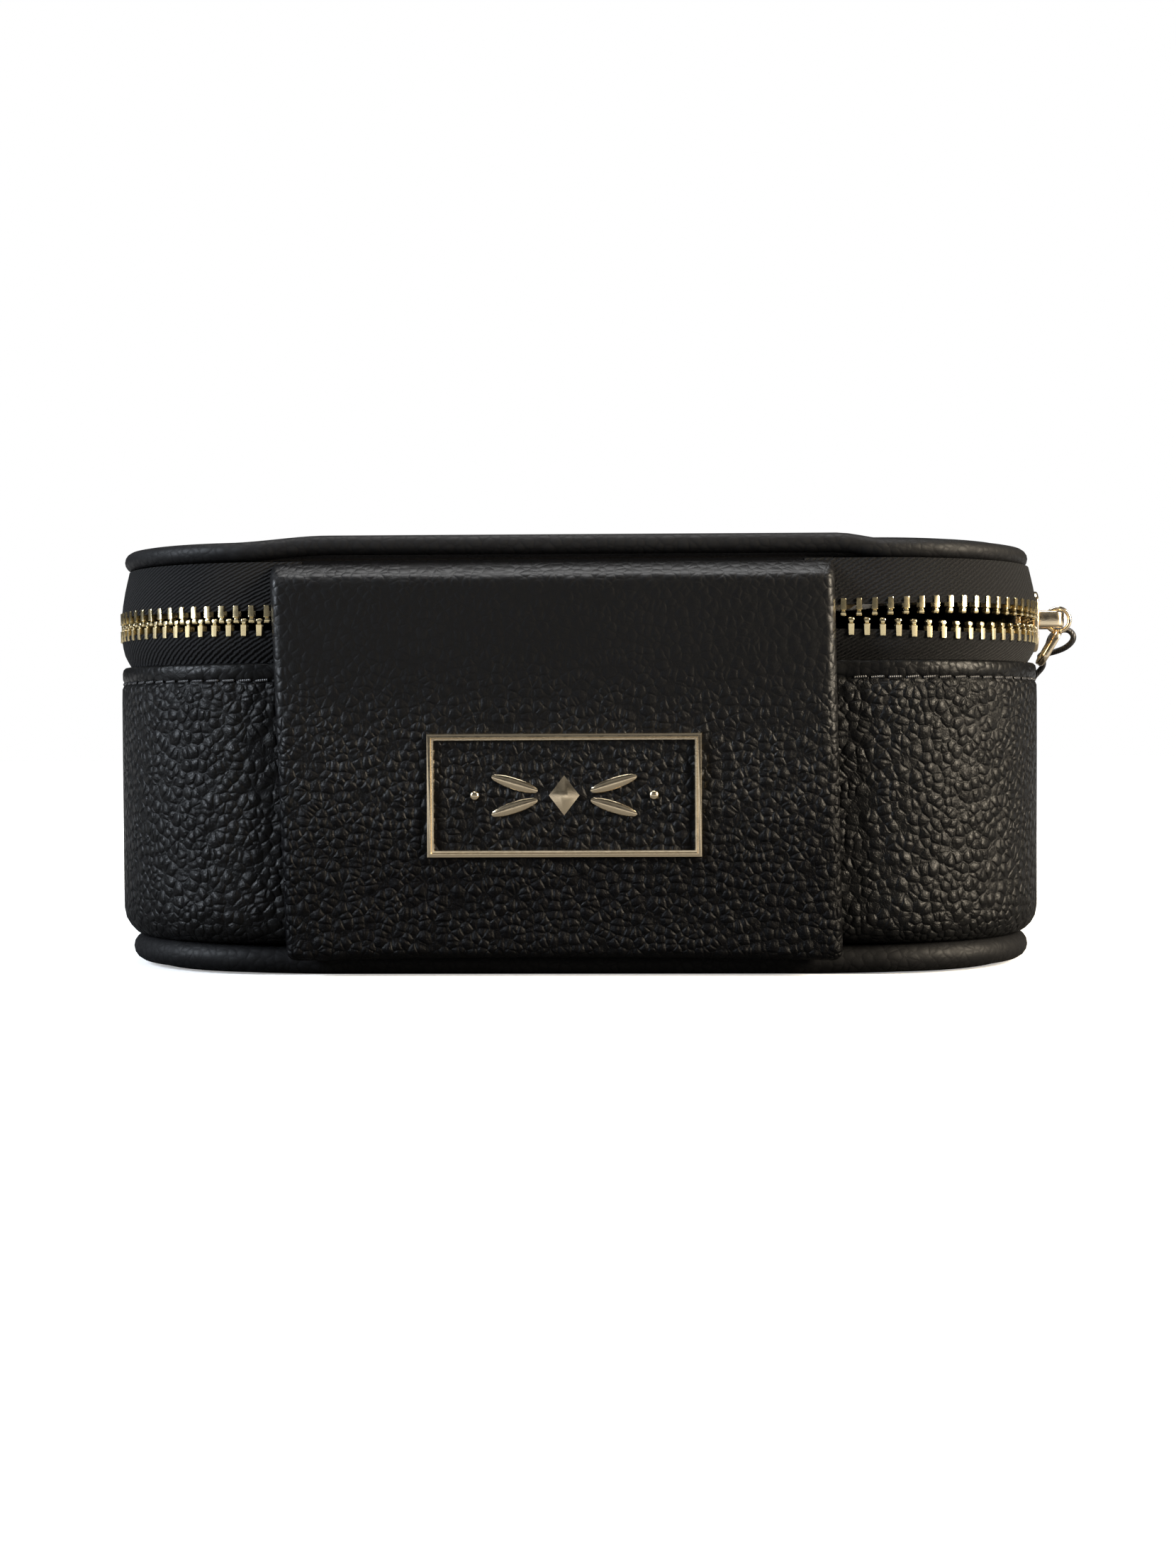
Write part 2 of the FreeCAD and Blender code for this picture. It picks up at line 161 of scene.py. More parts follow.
# %% [markdown]
# ## Materials
# All finishes are procedural. The leather's pebbles are Voronoi cells 1.6 to 1.75 mm wide, bent
# by a noise so that no two are alike. The distance to a cell's edge gives the crease between
# pebbles, and it drives height, gloss and colour together; the darker colour in the creases is
# painted shade.


# %% Node helper
def add_node(tree, kind, inputs=None, **settings):
    """New shader node. Inputs are plain values, or sockets to link from."""
    node = tree.nodes.new("ShaderNode" + kind)
    for key, value in settings.items():
        setattr(node, key, value)
    for key, value in (inputs or {}).items():
        if isinstance(value, bpy.types.NodeSocket):
            tree.links.new(value, node.inputs[key])
        else:
            node.inputs[key].default_value = value
    return node


class Nodes:
    """Short way to add and wire shader nodes in a new material."""

    def __init__(self, name):
        self.material = bpy.data.materials.new(name)
        self.material.use_nodes = True
        self.tree = self.material.node_tree
        self.shader = self.tree.nodes["Principled BSDF"]

    def add(self, kind, inputs=None, **settings):
        return add_node(self.tree, kind, inputs, **settings)

    def math(self, operation, a, b):
        return self.add("Math", {0: a, 1: b}, operation=operation).outputs[0]

    def spread(self, value, low, high, to_low=0.0, to_high=1.0):
        inputs = {"Value": value, "From Min": low, "From Max": high, "To Min": to_low, "To Max": to_high}
        return self.add("MapRange", inputs, interpolation_type="SMOOTHSTEP").outputs["Result"]

    def mix(self, factor, a, b):
        node = self.add("Mix", {"Factor": factor}, data_type="RGBA")
        for socket, value in ((node.inputs[6], a), (node.inputs[7], b)):
            if isinstance(value, bpy.types.NodeSocket):
                self.tree.links.new(value, socket)
            else:
                socket.default_value = (*value, 1)
        return node.outputs[2]

    def object_coords(self):
        return self.add("TexCoord").outputs["Object"]

    def uv(self):
        return self.add("TexCoord").outputs["UV"]

    def link(self, value, socket):
        self.tree.links.new(value, self.shader.inputs[socket])

    def set(self, **values):
        names = {"rough": "Roughness", "metal": "Metallic", "sheen": "Sheen Weight",
                 "sheen_rough": "Sheen Roughness", "specular": "Specular IOR Level"}
        for key, value in values.items():
            self.shader.inputs[names[key]].default_value = value

    def bump(self, height, distance, strength=1.0):
        node = self.add("Bump", {"Height": height, "Distance": distance, "Strength": strength})
        self.link(node.outputs[0], "Normal")


# %% Leather
PEBBLE = 1.6 * MM


# The dark colour is painted shade in the creases between pebbles, and the low end of a random tone.
def leather(name, pebble=PEBBLE, depth=0.5 * MM, crease_shade_and_tone=(0.0008, 0.0008, 0.001), light=(0.0035, 0.0035, 0.004),
            gloss=(0.36, 0.46), smooth_above=None, shine=(0.13, 0.13)):
    n = Nodes(name)
    at = n.object_coords()
    warp = n.add("TexNoise", {"Vector": at, "Scale": 0.55 / pebble, "Detail": 2.0})
    moved = n.add("VectorMath", {0: warp.outputs["Color"], 1: (0.5, 0.5, 0.5)}, operation="SUBTRACT")
    moved = n.add("VectorMath", {0: moved.outputs[0], "Scale": pebble * 0.55}, operation="SCALE")
    bent = n.add("VectorMath", {0: at, 1: moved.outputs[0]}, operation="ADD").outputs[0]
    centre = n.add("TexVoronoi", {"Vector": bent, "Scale": 1 / pebble}, feature="F1").outputs["Distance"]
    edge, small = (n.add("TexVoronoi", {"Vector": bent, "Scale": cells / pebble},
                         feature="DISTANCE_TO_EDGE").outputs["Distance"] for cells in (1, 2.6))
    dome = n.spread(centre, 0.0, 0.85, 1.0, 0.0)
    pebbles = n.spread(edge, 0.0, 0.22)
    wrinkles = n.spread(small, 0.0, 0.1)
    fine = n.add("TexNoise", {"Vector": at, "Scale": 9 / pebble, "Detail": 3.0}).outputs["Fac"]
    broad = n.add("TexNoise", {"Vector": at, "Scale": 0.09 / pebble, "Detail": 2.0}).outputs["Fac"]
    height = n.math("ADD", n.math("MULTIPLY", dome, 0.9), n.math("MULTIPLY", pebbles, 0.25))
    height = n.math("ADD", height, n.math("MULTIPLY", wrinkles, 0.06))
    height = n.math("ADD", height, n.math("MULTIPLY", fine, 0.12))
    z = n.add("SeparateXYZ", {0: at}).outputs["Z"]
    if smooth_above is not None:
        low, high, least = smooth_above
        height = n.math("MULTIPLY", height, n.spread(z, low, high, 1.0, least))
    # Colour darker in the creases between pebbles: painted shade; the broad noise only varies the tone at random.
    n.link(n.mix(n.math("MULTIPLY", pebbles, broad), crease_shade_and_tone, light), "Base Color")
    polish = n.math("ADD", pebbles, n.math("MULTIPLY", broad, 0.4))
    n.link(n.spread(polish, 0.2, 1.3, gloss[1], gloss[0]), "Roughness")
    # Specular strength follows height between the two values of shine: on the hinge panel it rises towards the top, a
    # painted sheen.
    n.link(n.spread(z, 0.012, 0.062, *shine), "Specular IOR Level")
    n.bump(height, depth)
    return n.material


wall_leather = leather("wall_leather_grain", pebble=1.75 * MM, depth=0.37 * MM, light=(0.006, 0.006, 0.006),
                       smooth_above=(WALL_TOP - 4 * MM, WALL_TOP - 2 * MM, 0.3))
# The panel's specular strength rises from 0.07 low down to 0.21 at the top: a painted sheen on its upper part.
panel_leather = leather("panel_leather_grain", depth=0.36 * MM, gloss=(0.4, 0.46), smooth_above=(0.03, 0.058, 0.25),
                        shine=(0.07, 0.21))
piping_leather = leather("piping_leather_grain", pebble=1.7 * MM, depth=0.06 * MM, crease_shade_and_tone=(0.004, 0.004, 0.0045),
                         light=(0.009, 0.009, 0.0095), gloss=(0.52, 0.6))
print("leathers", wall_leather.name, panel_leather.name, piping_leather.name)


# %% Cloth, velvet, thread and cord
def twill(name, rib=0.6 * MM):
    """Woven tape: diagonal ribs along the piece's own length and height."""
    n = Nodes(name)
    at = n.add("Mapping", {"Vector": n.uv(), "Rotation": (0, 0, math.radians(52))}).outputs[0]
    ribs = n.add("TexWave", {"Vector": at, "Scale": 0.32 / rib, "Distortion": 1.6, "Detail": 1.0,
                             "Detail Scale": 3.0}, wave_type="BANDS").outputs["Fac"]
    threads = n.add("TexNoise", {"Vector": n.object_coords(), "Scale": 5200.0, "Detail": 2.0}).outputs["Fac"]
    height = n.math("ADD", ribs, n.math("MULTIPLY", threads, 0.5))
    n.link(n.mix(n.spread(height, 0.2, 1.3), (0.0008, 0.0008, 0.001), (0.005, 0.005, 0.0055)), "Base Color")
    n.set(rough=0.8, sheen=0.03, sheen_rough=0.4, specular=0.15)
    n.bump(height, 0.2 * MM)
    return n.material


def velvet(name, color):
    n = Nodes(name)
    at = n.object_coords()
    pile = n.add("TexNoise", {"Vector": at, "Scale": 2600.0, "Detail": 3.0}).outputs["Fac"]
    brushed = n.add("TexNoise", {"Vector": at, "Scale": 38.0, "Detail": 3.0, "Distortion": 0.4}).outputs["Fac"]
    light = tuple(c * 2.2 + 0.012 for c in color)
    n.link(n.mix(n.math("MULTIPLY", pile, brushed), color, light), "Base Color")
    n.set(rough=0.9, sheen=0.7, sheen_rough=0.35)
    n.bump(pile, 0.15 * MM, 0.7)
    return n.material


def waxed_thread(name):
    n = Nodes(name)
    twist = n.add("TexWave", {"Vector": n.object_coords(), "Scale": 900.0, "Distortion": 1.5}).outputs["Fac"]
    n.link(n.mix(twist, (0.006, 0.006, 0.007), (0.03, 0.03, 0.032)), "Base Color")
    n.set(rough=0.42)
    n.bump(twist, 0.06 * MM)
    return n.material


zip_cloth = twill("zip_tape_twill")
lining_velvet = velvet("lining_velvet", (0.022, 0.02, 0.024))
thread = waxed_thread("waxed_thread")


# %% Metals and mirror
def plated(name, color, rough, scratch=0.08):
    n = Nodes(name)
    at = n.object_coords()
    cloud = n.add("TexNoise", {"Vector": at, "Scale": 700.0, "Detail": 4.0}).outputs["Fac"]
    wear = n.add("TexNoise", {"Vector": at, "Scale": 4200.0, "Detail": 2.0}).outputs["Fac"]
    worn = tuple(c * 0.82 for c in color)
    n.link(n.mix(cloud, color, worn), "Base Color")
    n.link(n.spread(cloud, 0.3, 0.8, rough, rough + scratch), "Roughness")
    n.set(metal=1.0)
    n.bump(wear, 0.015 * MM, 0.5)
    return n.material


teeth_metal = plated("teeth_pale_gold", (1.0, 0.84, 0.5), 0.2)
gold = plated("pale_gold", (0.97, 0.81, 0.57), 0.16)
mirror_glass = plated("silvered_glass", (0.86, 0.88, 0.89), 0.02, 0.01)
print("finishes", len(bpy.data.materials))

# %% [markdown]
# ## Going round the outline
# Wall, piping, tape and lining all have the same plan: a rounded rectangle. Each is one profile,
# drawn at the front end of the right side, and carried round by `bmesh.ops.spin`: with a step
# and no angle it runs straight, and with an angle it turns the corner.

# %% Sweep a profile round the case
STEP = 2.0 * MM
CORNER_STEPS = 26


def run_round(profile, closed=True, loop=True):
    """bmesh of a profile of (inset, height) points, in mm, carried round the case."""
    bm = bmesh.new()
    start_y = CORNER_R - HALF_Y
    verts = [bm.verts.new((HALF_X - inset * MM, start_y, z * MM)) for inset, z in profile]
    edges = [bm.edges.new(pair) for pair in zip(verts, verts[1:])]
    if closed:
        edges.append(bm.edges.new((verts[-1], verts[0])))
    geom = verts + edges
    side = (HALF_X - CORNER_R, HALF_Y - CORNER_R)
    corners = ((1, 1), (-1, 1), (-1, -1), (1, -1))
    heading = Vector((0, 1, 0))
    for i, (sx, sy) in enumerate(corners):
        length = 2 * side[1 - i % 2]
        steps = math.ceil(length / STEP)
        made = bmesh.ops.spin(bm, geom=geom, cent=(0, 0, 0), axis=(0, 0, 1), dvec=heading * length / steps,
                              angle=0, steps=steps)
        centre = (sx * side[0], sy * side[1], 0)
        made = bmesh.ops.spin(bm, geom=made["geom_last"], cent=centre, axis=(0, 0, 1),
                              angle=math.pi / 2, steps=CORNER_STEPS)
        geom = made["geom_last"]
        heading = Matrix.Rotation(math.pi / 2, 3, "Z") @ heading
    bmesh.ops.remove_doubles(bm, verts=bm.verts, dist=1e-6)
    bmesh.ops.recalc_face_normals(bm, faces=bm.faces)
    return bm


def round_profile(inset, z, radius, count=16):
    """Circle as (inset, height) points in mm."""
    turns = [2 * math.pi * i / count for i in range(count)]
    return [(inset + radius * math.cos(a), z + radius * math.sin(a)) for a in turns]


def on_outline(distance, inset=0.0):
    """Place and outward heading (radians) at a distance round the outline, from the middle of
    the right side, anticlockwise seen from above."""
    r = CORNER_R - inset
    quarter = math.pi / 2 * r
    side, back = HALF_Y - CORNER_R, 2 * (HALF_X - CORNER_R)
    lengths = [side, quarter, back, quarter, 2 * side, quarter, back, quarter, side]
    left = distance % sum(lengths)
    at = Vector((HALF_X - inset, 0, 0))
    heading = 0.0
    for i, length in enumerate(lengths):
        go = min(left, length)
        if i % 2 == 0:
            at += go * Vector((-math.sin(heading), math.cos(heading), 0))
        else:
            centre = at - r * Vector((math.cos(heading), math.sin(heading), 0))
            heading += go / r
            at = centre + r * Vector((math.cos(heading), math.sin(heading), 0))
        left -= go
        if left <= 0:
            break
    return at, heading


def outline_length(inset=0.0):
    straight = 4 * (HALF_X - CORNER_R) + 4 * (HALF_Y - CORNER_R)
    return straight + 2 * math.pi * (CORNER_R - inset)


print(f"outline {outline_length():.3f} m")

# %% [markdown]
# ## The base's leather
# One skin of leather goes from the hem down the wall and turns under. Its profile has the flat
# hem, the groove that the stitches pull in, and the rounded bottom edge. Small pushes of noise
# in the last centimetre make the gathers where the leather is pulled round the edge.

# %% Base cover
WALL_MM = WALL_TOP / MM
GROOVE = 3.0
wall_profile = [
    (8.0, 5.2), (4.6, 5.15), (3.3, 5.35), (2.1, 5.9), (1.1, 6.9), (0.4, 8.2), (0.05, 10.0), (0.0, 13.0),
    (0.0, 20.0), (0.0, 28.0), (0.0, 36.0), (0.0, 43.0), (0.0, 47.5), (0.05, WALL_MM - GROOVE - 0.9),
    (0.3, WALL_MM - GROOVE - 0.35), (0.55, WALL_MM - GROOVE), (0.35, WALL_MM - GROOVE + 0.35),
    (0.15, WALL_MM - GROOVE + 0.8), (0.12, WALL_MM - 1.1), (0.25, WALL_MM - 0.45), (0.6, WALL_MM - 0.08),
    (1.1, WALL_MM), (1.6, WALL_MM - 0.1), (1.6, 7.4), (2.2, 6.7), (8.0, 6.6),
]


def gather(v, outward):
    """Puckers near the turned bottom edge: strongest about 2 mm above it, gone by 14 mm."""
    z = v.co.z / MM
    share = smooth_step((14 - z) / 8) * smooth_step((z - 5.2) / 1.5)
    wave = noise.noise(Vector((v.co.x * 260, v.co.y * 260, v.co.z * 90)))
    v.co += outward * wave * share * 0.28 * MM


def outward_at(co):
    """Direction away from the case's rounded outline."""
    core = Vector((max(-HALF_X + CORNER_R, min(HALF_X - CORNER_R, co.x)),
                   max(-HALF_Y + CORNER_R, min(HALF_Y - CORNER_R, co.y)), 0))
    away = Vector((co.x, co.y, 0)) - core
    return away.normalized() if away.length > 1e-6 else Vector((0, 0, 0))


bm = run_round(wall_profile)
for v in bm.verts:
    if not (v.co.y < -HALF_Y + 1 * MM and abs(v.co.x - PANEL_X) < BEHIND_PANEL):
        gather(v, outward_at(v.co))
base_cover = finish_mesh(bm, "base_cover", wall_leather, "base", ("wall_leather", "wall_hem"), "case_leather")

# %% [markdown]
# ## Stitches along the hem
# Each stitch is a short capsule of waxed thread, 2.3 mm long every 3 mm, sunk in the groove. One
# small mesh is built once and its copies are joined into a single piece.


# %% Stitches
def join_copies(name, template, places, material, body, **extra):
    """Piece made of one small bmesh repeated at each matrix in places."""
    mesh = bpy.data.meshes.new(name + "_one")
    template.to_mesh(mesh)
    template.free()
    bm = bmesh.new()
    for place in places:
        before = len(bm.verts)
        bm.from_mesh(mesh)
        bm.verts.ensure_lookup_table()
        bmesh.ops.transform(bm, matrix=place, verts=bm.verts[before:])
    bpy.data.meshes.remove(mesh)
    return finish_mesh(bm, name, material, body, **extra)


def capsule(length, radius, segments=8):
    """Rounded rod along Y."""
    bm = bmesh.new()
    bmesh.ops.create_uvsphere(bm, u_segments=segments, v_segments=6, radius=radius)
    bmesh.ops.rotate(bm, verts=bm.verts, matrix=Matrix.Rotation(math.pi / 2, 3, "X"))
    for v in bm.verts:
        v.co.y += math.copysign(length / 2 - radius, v.co.y) if abs(v.co.y) > 1e-7 else 0
    return bm


def frame_at(distance, inset, z, tilt=0.0):
    """Matrix whose X points out of the case and whose Y runs along its outline."""
    at, heading = on_outline(distance, inset)
    turn = Matrix.Rotation(heading, 4, "Z") @ Matrix.Rotation(tilt, 4, "X")
    return Matrix.Translation((at.x, at.y, z)) @ turn


STITCH = 3.0 * MM
stitch_count = round(outline_length() / STITCH)
places = []
for i in range(stitch_count):
    distance = i * outline_length() / stitch_count
    at, _ = on_outline(distance)
    if at.y < 0 and abs(at.x - PANEL_X) < BEHIND_PANEL:
        continue
    places.append(frame_at(distance, 0.42 * MM, WALL_TOP - GROOVE * MM, random.uniform(0.03, 0.1)))
hem_stitches = join_copies("hem_stitches", capsule(2.35 * MM, 0.27 * MM), places, thread, "base", slot="case_leather")

# %% [markdown]
# ## Piping
# Piping is a cord wrapped in leather. It is a circle carried round the outline. On the lid it is
# lifted where it passes over the hinge panel's thick turned end, with a soft step at each side.

# %% Piping round the lid and the underside
lid_piping_z = (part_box("lid_piping")[0][2] + PIPING_R) / MM
lid_piping_inset = (HALF_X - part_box("lid_piping")[1][0] + PIPING_R) / MM
foot_piping_inset = (HALF_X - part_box("bottom_piping")[1][0] + FOOT_R) / MM
PIPING_LIFT = 1.1 * MM
LID_SHIFT = -0.5 * MM
LEFT_LIFT = 0.2 * MM
FOOT_LIFT = 0.6 * MM


def over_panel(x):
    """1 over the panel, 0 beside it; the step is longer on the left."""
    return smooth_step((x - PANEL_X + 57 * MM) / (17 * MM)) * smooth_step((55 * MM - x) / (9 * MM))


bm = run_round(round_profile(lid_piping_inset, lid_piping_z, PIPING_R / MM))
for v in bm.verts:
    if v.co.y < -HALF_Y + CORNER_R:
        v.co.z += PIPING_LIFT * over_panel(v.co.x)
    v.co.z += LEFT_LIFT * (1 - v.co.x / HALF_X)
    v.co.x += LID_SHIFT
lid_piping = finish_mesh(bm, "lid_piping_cover", piping_leather, "lid", ("lid_piping",), "case_leather")
bm = run_round(round_profile(foot_piping_inset, FOOT_R / MM, FOOT_R / MM))
for v in bm.verts:
    v.co.z += FOOT_LIFT * smooth_step((abs(v.co.x) - 40 * MM) / (34 * MM))
foot_piping = finish_mesh(bm, "foot_piping_cover", piping_leather, "base", ("bottom_piping",), "case_leather")

# %% [markdown]
# ## The lid's padded top
# Foam under the leather gives the lid a slight crown. The profile rises steeply beside the
# piping and then flattens, and the flat middle is one filled face.

# %% Lid cover
lid_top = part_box("lid_leather")[1][2] / MM
lid_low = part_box("lid_leather")[0][2] / MM
lid_edge = (HALF_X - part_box("lid_leather")[1][0]) / MM
lid_profile = [(lid_edge + 6, lid_low + 0.1), (lid_edge - 0.3, lid_low + 0.2), (lid_edge - 0.5, lid_low + 0.9),
               (lid_edge - 0.1, lid_top - 1.5), (lid_edge + 1.4, lid_top - 1.05), (lid_edge + 4.5, lid_top - 0.7),
               (lid_edge + 10, lid_top - 0.35), (lid_edge + 20, lid_top)]
bm = run_round(lid_profile, closed=False)
open_edges = [e for e in bm.edges if e.is_boundary]
bmesh.ops.holes_fill(bm, edges=open_edges, sides=0)
bmesh.ops.recalc_face_normals(bm, faces=bm.faces)
lid_cover = finish_mesh(bm, "lid_cover", wall_leather, "lid", ("lid_leather",), "case_leather")

# %% [markdown]
# ## Zip tapes
# The tape is woven cloth. It bulges out towards the chain, and goes in under the piping above
# and behind the hem below. The weave follows the tape, so each piece gets its own UV map:
# distance round the case, and height.


# %% Tapes
def add_outline_uv(bm):
    """UV in metres: distance round the middle of the case, and height."""
    layer = bm.loops.layers.uv.new("along")
    for face in bm.faces:
        turns = [math.atan2(loop.vert.co.y, loop.vert.co.x) for loop in face.loops]
        split = max(turns) - min(turns) > math.pi
        for loop, turn in zip(face.loops, turns):
            if split and turn < 0:
                turn += 2 * math.pi
            loop[layer].uv = (turn * (HALF_X + HALF_Y) / 2, loop.vert.co.z)


def cut_for_panel(bm, half):
    """Takes away what would lie behind the hinge panel."""
    behind = [f for f in bm.faces
              if f.calc_center_median().y < 0 and abs(f.calc_center_median().x - PANEL_TOP_X) < half]
    bmesh.ops.delete(bm, geom=behind, context="FACES")


def row_drop(x, y):
    """How far a row of teeth stands back from the chain's middle: nothing where the chain is
    closed, and up to a millimetre between the panel's right edge and the slider's mouth."""
    slider_y = (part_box("slider_outer_plate")[0][1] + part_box("slider_outer_plate")[1][1]) / 2
    if x < PANEL_X + 20 * MM or y > slider_y + 6 * MM:
        return 0.0
    if x > HALF_X - 3 * MM:
        return MOUTH_DROP * smooth_step((slider_y + 6 * MM - y) / (9 * MM))
    near = smooth_step((x - PANEL_TOP_X - 46.95 * MM) / (26 * MM))
    return MESH_DEPTH + (MOUTH_DROP - MESH_DEPTH) * near


MESH_DEPTH = 0.45 * MM
MOUTH_DROP = 1.1 * MM
CHAIN = CHAIN_Z / MM
TAPE_EDGE = 1.7


def tape(profile, name, body, replaced):
    bm = run_round(profile)
    cut_for_panel(bm, 43.5 * MM)
    holes = [e for e in bm.edges if e.is_boundary]
    bmesh.ops.holes_fill(bm, edges=holes, sides=0)
    for v in bm.verts:
        share = 1 - min(1.0, abs(v.co.z - CHAIN_Z) / (7 * MM))
        v.co.z += math.copysign(row_drop(v.co.x, v.co.y) * share, v.co.z - CHAIN_Z)
    bmesh.ops.recalc_face_normals(bm, faces=bm.faces)
    add_outline_uv(bm)
    return finish_mesh(bm, name, zip_cloth, body, replaced, "zip_cloth")


# Outer face first, then the fold at the chain or the flange, and back along the inner face
LOW_EDGE, HIGH_EDGE = CHAIN - TAPE_EDGE, CHAIN + TAPE_EDGE
lower_profile = [
    (1.75, WALL_MM - 1.0), (1.7, WALL_MM + 0.1), (1.15, WALL_MM + 1.1), (0.62, WALL_MM + 2.2),
    (0.28, WALL_MM + 3.6), (0.05, LOW_EDGE - 0.2), (0.05, LOW_EDGE), (0.65, LOW_EDGE),
    (0.9, WALL_MM + 3.8), (1.4, WALL_MM + 2.2), (2.0, WALL_MM + 0.9), (2.35, WALL_MM), (2.4, WALL_MM - 1.0),
]
upper_profile = [
    (0.05, HIGH_EDGE), (0.08, HIGH_EDGE + 0.5), (0.3, CHAIN + 4.2), (0.7, CHAIN + 6.6),
    (1.1, CHAIN + 8.4), (1.5, CHAIN + 10.1), (4.2, CHAIN + 10.2), (4.4, CHAIN + 9.6),
    (2.2, CHAIN + 9.4), (1.75, CHAIN + 8.0), (1.3, CHAIN + 6.4), (0.85, CHAIN + 4.0), (0.65, HIGH_EDGE),
]
lower_tape = tape(lower_profile, "lower_zip_tape", "base", ("zip_tape_lower",))
upper_tape = tape(upper_profile, "upper_zip_tape", "lid", ("zip_tape_upper",))

# %% [markdown]
# ## Zip teeth
# A moulded tooth is a narrow shank with a wider rounded head. One tooth is a bevelled box whose
# head is widened, and the rows are copies of it, half a pitch apart so that they mesh.

# %% Teeth
TOOTH_PITCH = 2.65 * MM
TOOTH_H = 3.05 * MM
BAR_W = 1.05 * MM
NO_TEETH = (-51.75 * MM, 45.95 * MM)
TOOTH_T = 1.7 * MM
TOOTH_PROUD = 0.3 * MM
# Height below the tip in mm, and share of the bar's width and thickness there: a round head, a
# thin neck, and the flat bar that grips the tape
TOOTH_SHAPE = [(0.0, 0.45, 0.4), (-0.18, 0.9, 0.66), (-0.5, 1.1, 0.76), (-0.8, 0.85, 0.66), (-0.98, 0.6, 0.6),
               (-1.12, 0.96, 0.9), (-1.25, 1.0, 1.0), (-2.9, 1.0, 1.0), (-3.05, 0.86, 0.86)]


def one_tooth(sign):
    """Tooth with its tip at z 0, standing down for sign 1 and up for sign -1."""
    bm = bmesh.new()
    bmesh.ops.create_cube(bm, size=1.0)
    bmesh.ops.scale(bm, verts=bm.verts, vec=(TOOTH_T, BAR_W, TOOTH_H))
    bmesh.ops.translate(bm, verts=bm.verts, vec=(0, 0, -TOOTH_H / 2))
    for z, _, _ in TOOTH_SHAPE[1:-1]:
        bisect(bm, (0, 0, z * MM), (0, 0, 1))
    for v in bm.verts:
        _, wide, thick = min(TOOTH_SHAPE, key=lambda row: abs(row[0] * MM - v.co.z))
        v.co.y *= wide
        v.co.x *= thick
    upright = [e for e in bm.edges if abs((e.verts[0].co - e.verts[1].co).normalized().z) > 0.5]
    bevel(bm, upright, 0.16 * MM, 2)
    if sign < 0:
        bmesh.ops.rotate(bm, verts=bm.verts, matrix=Matrix.Rotation(math.pi, 3, "X"))
    bmesh.ops.recalc_face_normals(bm, faces=bm.faces)
    return bm


def tooth_row(name, sign, shift, body, replaced):
    inset = -TOOTH_PROUD + TOOTH_T / 2
    count = round(outline_length(inset) / TOOTH_PITCH)
    pitch = outline_length(inset) / count
    places = []
    for i in range(count):
        distance = (i + shift) * pitch
        at, _ = on_outline(distance, inset)
        if at.y < 0 and NO_TEETH[0] < at.x < NO_TEETH[1]:
            continue
        z = CHAIN_Z + sign * (MESH_DEPTH - row_drop(at.x, at.y))
        places.append(frame_at(distance, inset, z))
    return join_copies(name, one_tooth(sign), places, teeth_metal, body, replaces=replaced, slot="zip_metal")


lower_teeth = tooth_row("lower_teeth", 1, 0.0, "base", ("zip_teeth_lower", "zip_teeth_lower_run"))
upper_teeth = tooth_row("upper_teeth", -1, 0.5, "lid", ("zip_teeth_upper", "zip_teeth_upper_run"))

# %% [markdown]
# ## The hinge panel
# A single piece of leather joins base and lid. It starts as a box, its turned edges are bevelled,
# and it is cut into many rows, 1 mm apart round the zip's chain.

# %% Panel
PANEL_Y0 = -HALF_Y
PANEL_Y1 = PANEL_LOW[1]
PANEL_W = 95.4 * MM
PANEL_ROLL = 2.8 * MM
panel_size = (PANEL_W, PANEL_Y0 - PANEL_Y1, PANEL_HIGH[2] - PANEL_LOW[2])
panel_middle = Vector((PANEL_X, (PANEL_Y0 + PANEL_Y1) / 2, (PANEL_HIGH[2] + PANEL_LOW[2]) / 2))
bm = bmesh.new()
bmesh.ops.create_cube(bm, size=1.0)
bmesh.ops.scale(bm, verts=bm.verts, vec=panel_size)
bmesh.ops.translate(bm, verts=bm.verts, vec=panel_middle)


def along(e, axis):
    return abs((e.verts[0].co - e.verts[1].co).normalized()[axis]) > 0.99


foot_corners = [e for e in bm.edges if along(e, 1) and e.verts[0].co.z < 0.01]
bevel(bm, foot_corners, 1.8 * MM, 5)
front_edges = [e for e in bm.edges if all(v.co.y < PANEL_Y1 + 0.01 * MM for v in e.verts)]
bevel(bm, front_edges, 1.8 * MM, 6)
cuts = [PANEL_LOW[2] + s * panel_size[2] for s in [i / 16 for i in range(1, 13)]]
cuts += [CHAIN_Z + d * MM for d in range(-5, 9)]
for z in cuts:
    bisect(bm, (0, 0, z), (0, 0, 1))
for i in range(-11, 12):
    bisect(bm, (PANEL_X + i * 3.9 * MM, 0, 0), (1, 0, 0))
for v in bm.verts:
    side = (v.co.x - PANEL_X) / (panel_size[0] / 2)
    rise = (v.co.z - PANEL_LOW[2]) / panel_size[2]
    v.co.x += ((PANEL_TOP_X - PANEL_X) * rise) + 0.3 * MM * side * (2 * rise - 1)
    v.co.z += (0.6 * (1 - side * side) - 0.45) * MM * smooth_step(1 - rise * 6)
    roll = smooth_step((v.co.z - (PANEL_HIGH[2] - PANEL_ROLL)) / PANEL_ROLL)
    v.co += Vector((0, 4.0 * MM, 1.1 * MM)) * roll
    ripple = noise.noise(Vector((v.co.x * 55, v.co.z * 70, 3.1)))
    if v.co.y < PANEL_Y1 + 0.3 * MM:
        v.co.y += 0.16 * MM * ripple
bmesh.ops.recalc_face_normals(bm, faces=bm.faces)
hinge_panel = finish_mesh(bm, "hinge_panel", panel_leather, None, slot="case_leather", smooth_angle=70)
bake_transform(hinge_panel)
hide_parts("hinge_panel_lower", "hinge_panel_upper")

